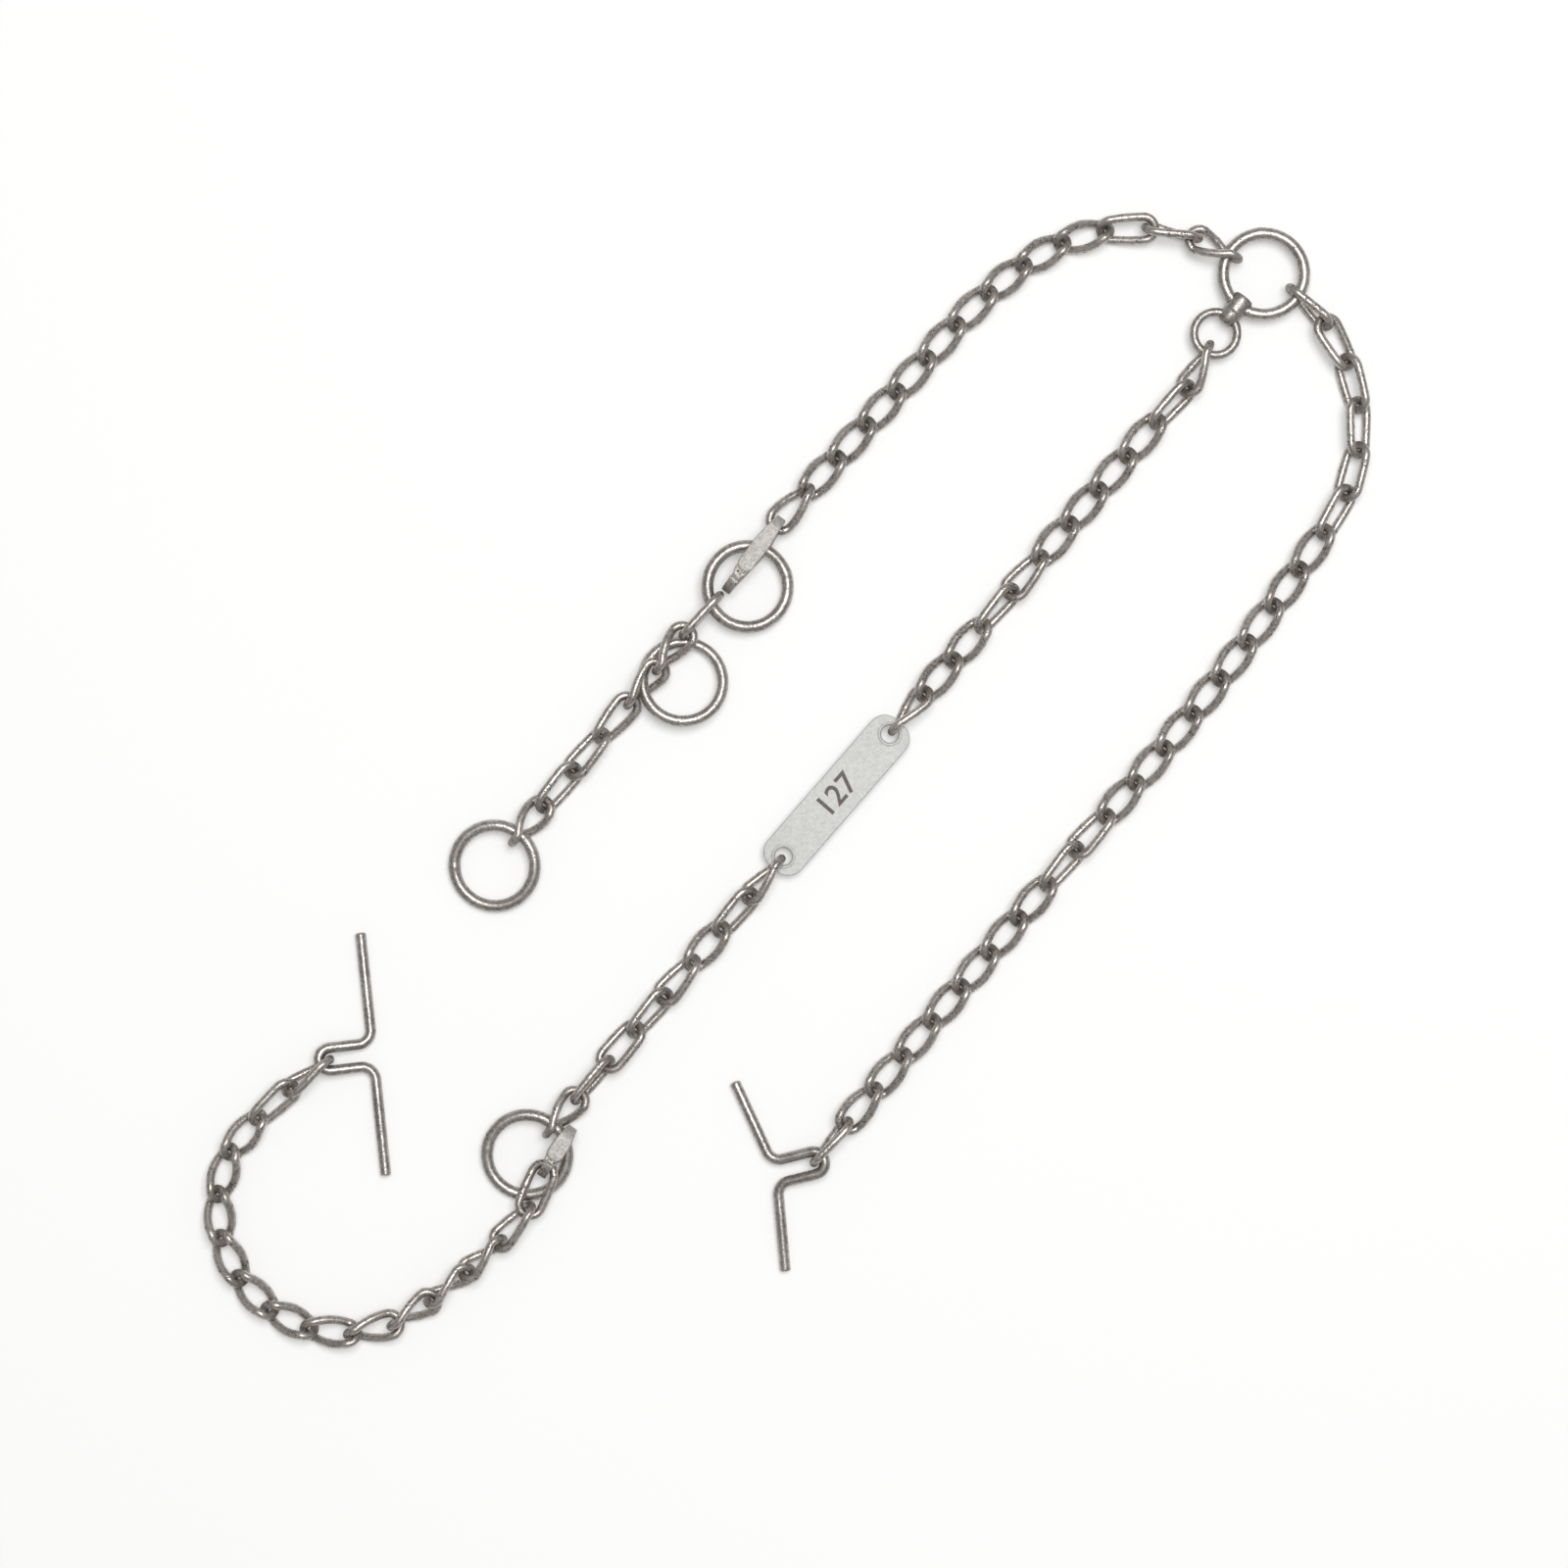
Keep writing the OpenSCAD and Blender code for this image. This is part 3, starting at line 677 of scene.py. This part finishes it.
# node, centre, wire, way up, height there, height across, weld, inside, slot
RINGS = [
    ("big_ring", BIG_XY, RING_WIRE, 0, HOOK_Z, HOOK_Z, 95, RING_INNER, "ring"),
    ("ring_1", RING_1_XY, RING_WIRE, 52, HOOK_Z, RING_WIRE/2, 130, RING_INNER, "ring"),
    ("ring_2", RING_2_XY, SIDE_RING_WIRE, 252, 12.3, 4, 200, RING_INNER, "ring"),
    ("ring_3", RING_3_XY, RING_WIRE, 168, 12.7, 5.4, 210, RING_INNER, "ring"),
    ("ring_4", RING_4_XY, RING_WIRE, 60, HOOK_Z, RING_WIRE/2, 110, RING_INNER, "ring"),
    ("swivel_eye", EYE_XY, EYE_WIRE, 0, HOOK_Z, HOOK_Z, 20, EYE_INNER, "swivel"),
]
for seed, (node, xy, wire, up, high, low, weld_at, inner, slot) in enumerate(RINGS):
    path = ring_path(xy, wire, up, high, low, weld_at, inner)
    wire_piece(f"{node}_wire", node, [(path, [1.0]*len(path))], True, wire/2,
               RING_STEEL if slot == "ring" else SWIVEL_STEEL, seed, RING_SWEEP)

# node, strand, way out, reach of an arm, how far the arms lean forward
TOGGLES = [("toggle_1", STRAND_F, 6, 71, 0), ("toggle_2", STRAND_C, 195, 57, 10)]
for node, strand, out, arm, lead in TOGGLES:
    path, widths = toggle_path(strand, out, arm, lead)
    wire_piece(f"{node}_rod", node, [(path, widths)], False, ROD/2,
               ROD_STEEL, arm, ROD_SWEEP)


def sealed(shell):
    """Joins points that coincide, and turns the faces outwards."""
    bmesh.ops.remove_doubles(shell, verts=shell.verts[:], dist=0.002*MM)
    bmesh.ops.recalc_face_normals(shell, faces=shell.faces[:])


def metres_mesh(name, vertices, faces, *materials, kinds=None):
    """A closed mesh from points in millimetres.

    kinds gives each face the number of its material.
    """
    shell = bmesh.new()
    points = [shell.verts.new(Vector(v)*MM) for v in vertices]
    for number, face in enumerate(faces):
        made = shell.faces.new([points[i] for i in face])
        made.material_index = kinds[number] if kinds else 0
    sealed(shell)
    for face in shell.faces:
        face.smooth = True
    mesh = bpy.data.meshes.new(name)
    shell.to_mesh(mesh)
    shell.free()
    for material in materials:
        mesh.materials.append(material)
    return placed(name, mesh)


def table_at(table, x):
    """A straight-line reading of [(x, value), ...]."""
    for (x0, v0), (x1, v1) in zip(table, table[1:]):
        if x <= x1:
            return v0 + (v1 - v0)*max(0.0, (x - x0)/(x1 - x0))
    return table[-1][1]


def strap_section(half_width, half_thick, corner):
    """A flat bar's section with round edges: (across, through)."""
    section = []
    for sx, sy, low in ((1, 1, 0), (-1, 1, 90), (-1, -1, 180), (1, -1, 270)):
        for step in range(5):
            t = radians(low + 22.5*step)
            section.append((sx*(half_width - corner) + corner*cos(t),
                            sy*(half_thick - corner) + corner*sin(t)))
    return section


def tube_faces(rows, count, first=0, closed=False):
    """The faces between rows of count points each, as round a tube."""
    faces = []
    for i in range(rows if closed else rows - 1):
        for j in range(count):
            k, m = (j + 1) % count, (i + 1) % rows
            faces.append((first + i*count + j, first + i*count + k,
                          first + m*count + k, first + m*count + j))
    return faces


def end_faces(rows, count):
    """The two faces that close a tube."""
    return [tuple(range(count)), tuple(range((rows - 1)*count, rows*count))]


# the neck's end under the blade: its reach, its depth; the blade's tongue: its
# length, how far it thins, how far it passes the lap
UNDER_REACH, UNDER_DEPTH = 7.0, 1.9
TONGUE, TONGUE_THIN, TONGUE_PAST = 4.2, 0.55, 0.6
STRAP_EDGE = 0.7


def lap_strap(name, node, length, place):
    """A flat strap bent to a long loop, its broad blade lapped over its neck.

    It is seen from the side: x runs from the tip, z is up. Each station holds a
    section of the strap: (x, z, way along, half width, half thickness).
    """
    round_r = LAP_INNER/2 + STRAP
    straight = length - 2*round_r
    blade_x, lap_x = round_r + straight*0.3, round_r + straight*0.8
    top, thin, end = BLADE_W/2, STRAP - LAP_STEP, lap_x + TONGUE_PAST
    mid_r, tucked = round_r - STRAP/2, round_r - LAP_STEP - thin/2
    under = round_r - UNDER_DEPTH - thin/2
    loop_widths = [(-1, TIP_W/2), (blade_x - 3, top), (blade_x + 6, top),
                   (lap_x + 2, NECK_W/2 + 0.8), (length - 6, NECK_W/2),
                   (length + 1, NECK_W/2)]
    neck_widths = [(lap_x - UNDER_REACH, 3.6), (lap_x + 1, BLADE_W*0.40),
                   (lap_x + 6, NECK_W*0.42), (length - 5, NECK_W*0.48),
                   (length, NECK_W*0.62)]
    blade_widths = [(-1, TIP_W/2), (blade_x - 3, top*0.94), (lap_x - 2, top*0.92),
                    (lap_x + 2, top*0.88)]

    def loop(x):
        return table_at(loop_widths, x)

    def neck(x):
        return table_at(neck_widths, x)

    def blade(x):
        """The blade keeps its breadth and ends in a round tongue."""
        left = min(1.0, (end - x)/TONGUE)
        rounding = sqrt(max(0.0, 1 - (1 - left)**2))
        return min(top, table_at(blade_widths, x))*rounding + 0.02

    stations = []

    def straight_run(x0, x1, z0, z1, count, wide, half_thick=STRAP/2):
        for i in range(count):
            x, z = x0 + (x1 - x0)*(i/count), z0 + (z1 - z0)*(i/count)
            stations.append((x, z, 0 if x1 > x0 else 180, wide(x), half_thick))

    def bend(x, low, high, count=14):
        for i in range(count):
            t = low + (high - low)*i/count
            px = x + mid_r*cos(radians(t))
            stations.append((px, mid_r*sin(radians(t)), t - 90, loop(px), STRAP/2))

    step_down = lap_x - UNDER_REACH + 3
    straight_run(lap_x - UNDER_REACH, step_down, under, under, 3, neck, thin/2)
    straight_run(step_down, length - round_r, under, tucked, 12, neck, thin/2)
    # the neck's pitted skin goes on round part of the bend
    neck_stations = len(stations) + 8
    bend(length - round_r, 90, -90)
    straight_run(length - round_r, round_r, -mid_r, -mid_r, 16, loop)
    bend(round_r, 270, 90)
    straight_run(round_r, end - TONGUE, mid_r, mid_r, 14, blade)
    for i in range(9):
        x = end - TONGUE*(1 - sin(radians(90*i/8)))
        thick = STRAP/2 - TONGUE_THIN*sin(radians(90*i/8))
        stations.append((x, round_r - thick, 0, blade(x), thick))
    vertices = []
    for x, z, way, half_wide, half_thick in stations:
        corner = min(STRAP_EDGE, half_wide*0.9, half_thick*0.9)
        section = strap_section(max(half_wide, 0.05), half_thick, corner)
        for across, through in section:
            vertices.append(place @ Vector((x - through*sin(radians(way)), across,
                                            z + through*cos(radians(way)))))
    rows, n = len(stations), len(section)
    faces = tube_faces(rows, n)
    kinds = [1 if i//n < neck_stations else 0 for i in range(len(faces))] + [1, 0]
    strap = metres_mesh(name, vertices, faces + end_faces(rows, n), STRAP_STEEL,
                        NECK_STEEL, kinds=kinds)
    finish(strap, node)


lap_strap("lap_strap_a", "lap_link_a", LAP_A_LENGTH,
          Matrix.Translation((LAP_A_XY.x, LAP_A_XY.y, LAP_A_Z)) @ turn(LAP_A_AIM, "Z"))
lap_strap("lap_strap_b", "lap_link_b", LAP_B_LENGTH,
          Matrix.Translation((LAP_B_XY.x, LAP_B_XY.y, LAP_B_Z))
          @ turn(LAP_B_AIM, "Z") @ turn(-LAP_B_RISE, "Y"))


def as_piece(data, place, material):
    """Makes a curve or text a plain mesh of that name, with its place in the mesh."""
    name = data.name
    obj = placed(name, data)
    graph = bpy.context.evaluated_depsgraph_get()
    mesh = bpy.data.meshes.new_from_object(obj.evaluated_get(graph), depsgraph=graph)
    mesh.transform(place)
    mesh.materials.clear()
    mesh.materials.append(material)
    bpy.data.objects.remove(obj)
    return placed(name, mesh)


# how far the plate's edges are eased, and how far out of a hole its rim begins
TAG_EASE, RIM_START = 0.6, 0.4
# the number's height, its thickness to each side and its thicker strokes
NUMBER, NUMBER_SIZE, NUMBER_THICK, NUMBER_BOLD = "127", 18, 0.06, 0.22


def rounded_plate():
    """The marking plate: a flat strip with round corners, two holes and eased edges."""
    flat = bpy.data.curves.new("marking_plate", "CURVE")
    flat.dimensions, flat.fill_mode = "2D", "BOTH"
    flat.extrude = (TAG_THICK/2 - TAG_EASE)*MM
    flat.bevel_depth, flat.bevel_resolution = TAG_EASE*MM, 3
    flat.offset = -TAG_EASE*MM
    mid, half_l, half_w = HOLE_SPAN/2, TAG_LENGTH/2, TAG_WIDTH/2
    outline = []
    for sx, sy, low in ((1, 1, 0), (-1, 1, 90), (-1, -1, 180), (1, -1, 270)):
        corner = Vector((mid + sx*(half_l - TAG_CORNER), sy*(half_w - TAG_CORNER), 0))
        outline += [corner + p for p in arc(TAG_CORNER, low, low + 90, 14)]
    loops = [outline] + [[p + Vector((x, 0, 0)) for p in arc(TAG_HOLE/2, 360, 0, 48)[:-1]]
                         for x in (0, HOLE_SPAN)]
    for loop in loops:
        line = flat.splines.new("POLY")
        line.points.add(len(loop) - 1)
        for point, p in zip(line.points, loop):
            point.co = (*(p*MM), 1)
        line.use_cyclic_u = True
    place = Matrix.Translation(Vector((HOLE_1.x, HOLE_1.y, TAG_Z))*MM) @ turn(TAG_AIM, "Z")
    piece = as_piece(flat, place, PLATE_STEEL)
    shell = bmesh.new()
    shell.from_mesh(piece.data)
    sealed(shell)
    shell.to_mesh(piece.data)
    shell.free()
    finish(piece, "tag_plate")
    return place


def plate_number(place):
    """A plain stall number, a hair proud of the plate."""
    text = bpy.data.curves.new("stall_number", "FONT")
    text.body, text.size, text.extrude = NUMBER, NUMBER_SIZE*MM, NUMBER_THICK*MM
    text.align_x, text.align_y, text.offset = "CENTER", "CENTER", NUMBER_BOLD*MM
    spot = Matrix.Translation(Vector((HOLE_SPAN/2, 0, TAG_THICK/2 + 0.04))*MM)
    carried(as_piece(text, place @ spot @ turn(180, "Z"), INK), "tag_plate")


def hole_rims(place):
    """The low swaged rim round each of the plate's holes."""
    # (out from where the rim begins, up from the plate)
    rims = [(0.0, 0.0), (0.18, 0.16), (0.9, 0.22), (1.5, 0.14), (1.7, 0.0), (1.7, -0.2),
            (0.0, -0.2)]
    count, n = 56, len(rims)
    vertices, faces = [], []
    for x in (0, HOLE_SPAN):
        first = len(vertices)
        for i in range(count):
            t = 2*pi*i/count
            for out, up in rims:
                r = TAG_HOLE/2 + RIM_START + out
                vertices.append(Vector((x + r*cos(t), r*sin(t), TAG_THICK/2 + up)))
        faces += tube_faces(count, n, first, closed=True)
    piece = metres_mesh("hole_rims", vertices, faces, PLATE_STEEL)
    piece.data.transform(place)
    carried(piece, "tag_plate")


PLATE_PLACE = rounded_plate()
hole_rims(PLATE_PLACE)
plate_number(PLATE_PLACE)


def torus(name, centre, radius, tube, around=120, about=24):
    """A closed ring in millimetres, to cut a wire's bore."""
    vertices = []
    for i in range(around):
        t = 2*pi*i/around
        for j in range(about):
            a = 2*pi*j/about
            reach = radius + tube*cos(a)
            vertices.append(centre + Vector((reach*cos(t), reach*sin(t), tube*sin(a))))
    return metres_mesh(name, vertices, tube_faces(around, about, closed=True))


# the swivel body's outline: (out from the ring's wire, radius)
BEAD = [(-5.95, 3.6), (-5.75, 4.3), (-5.95, 4.9), (-5.8, 5.5), (-5.3, 6.0),
        (-4.4, 6.35), (-3.0, 6.45), (-1.0, 6.5), (1.6, 6.5), (3.6, 6.45), (5.4, 6.3),
        (5.6, 6.1), (5.8, 6.1), (7.0, 6.05), (8.6, 5.8), (10.2, 5.4), (11.5, 4.9),
        (12.4, 4.3), (13.05, 3.4), (13.3, 2.4)]


def swivel_bead():
    """The forged swivel body: a round bead, a waist, and the lap over the eye's wire."""
    count = 72
    place = (Matrix.Translation((BIG_XY.x, BIG_XY.y, HOOK_Z)) @ turn(SWIVEL_AIM, "Z")
             @ Matrix.Translation((RING_R, 0, 0)))
    vertices = []
    for x, r in BEAD:
        for i in range(count):
            t = 2*pi*i/count
            vertices.append(place @ Vector((x, r*cos(t), r*sin(t))))
    bead = metres_mesh("swivel_bead", vertices,
                       tube_faces(len(BEAD), count) + end_faces(len(BEAD), count),
                       SWIVEL_STEEL)
    eye = Vector((EYE_XY.x, EYE_XY.y, HOOK_Z))
    ring = Vector((BIG_XY.x, BIG_XY.y, HOOK_Z))
    bores = [torus("Ring bore", ring, RING_R, RING_WIRE/2 + BORE_PLAY),
             torus("Eye bore", eye, EYE_R, EYE_WIRE/2 + BORE_PLAY)]
    for bore in bores:
        cut = bead.modifiers.new(bore.name, "BOOLEAN")
        cut.operation, cut.solver, cut.object = "DIFFERENCE", "EXACT", bore
    baked(bead)
    for bore in bores:
        bpy.data.objects.remove(bore)
    finish(bead, "swivel_body")


swivel_bead()

# Floor and lights

FLOOR_Z, FLOOR_HALF = CAD_BOX[0][2] - 0.05*MM, 6.0
PAPER, PAPER_GLOW = (0.84, 0.84, 0.835, 1), 0.19


def floor():
    """White paper under the chain, with a glow of its own."""
    mesh = bpy.data.meshes.new("Floor")
    corners = [(x*FLOOR_HALF, y*FLOOR_HALF, FLOOR_Z)
               for x, y in ((-1, -1), (1, -1), (1, 1), (-1, 1))]
    mesh.from_pydata(corners, [], [(0, 1, 2, 3)])
    obj = placed("Floor", mesh)
    material = bpy.data.materials.new("Pale floor")
    material.use_nodes = True
    shader = material.node_tree.nodes["Principled BSDF"]
    shader.inputs["Base Color"].default_value = PAPER
    shader.inputs["Roughness"].default_value = 0.9
    shader.inputs["Specular IOR Level"].default_value = 0.1
    # the glow is only for rays that see the paper, so it is no lamp
    tree = material.node_tree
    add = adder(tree)
    seen = tree.nodes.new("ShaderNodeLightPath").outputs
    rays = add("ShaderNodeMath", {0: seen["Is Camera Ray"], 1: seen["Is Glossy Ray"]},
               operation="MAXIMUM")
    rays = add("ShaderNodeMath", {0: rays.outputs[0], 1: seen["Is Transmission Ray"]},
               operation="MAXIMUM")
    glow = add("ShaderNodeMath", {0: rays.outputs[0], 1: PAPER_GLOW}, operation="MULTIPLY")
    shader.inputs["Emission Color"].default_value = (1, 1, 1, 1)
    tree.links.new(glow.outputs[0], shader.inputs["Emission Strength"])
    mesh.materials.append(material)


def lamp(name, place, target, size, power):
    """A round soft light, size metres across, that shines at target."""
    data = bpy.data.lights.new(name, "AREA")
    data.shape = "DISK"
    data.size = size
    data.energy = power
    obj = placed(name, data)
    obj.location = place
    way = Vector(target) - Vector(place)
    obj.rotation_euler = way.to_track_quat("-Z", "Y").to_euler()


def world(strength):
    """Even white light from all round."""
    sky = bpy.data.worlds.new("Soft studio")
    sky.use_nodes = True
    back = sky.node_tree.nodes["Background"]
    back.inputs["Color"].default_value = (1, 1, 1, 1)
    back.inputs["Strength"].default_value = strength
    bpy.context.scene.world = sky


floor()
world(strength=0.32)
lamp("Key", place=(0.5, 0.8, 4.6), target=(0, 0, 0), size=3.0, power=159.0)

# the photograph's width on the floor, and what its middle looks at
PHOTO_SPAN, PHOTO_MID = 1600*0.57*MM, (-2.0*MM, -2.3*MM)
LENS, SENSOR = 100.0, 36.0
camera_data = bpy.data.cameras.new("Photo view")
camera_data.lens = LENS
camera_data.sensor_width = SENSOR
camera = placed("Photo view", camera_data)
camera.location = (*PHOTO_MID, PHOTO_SPAN*LENS/SENSOR)
bpy.context.scene.camera = camera
bpy.context.scene.view_settings.view_transform = "Standard"
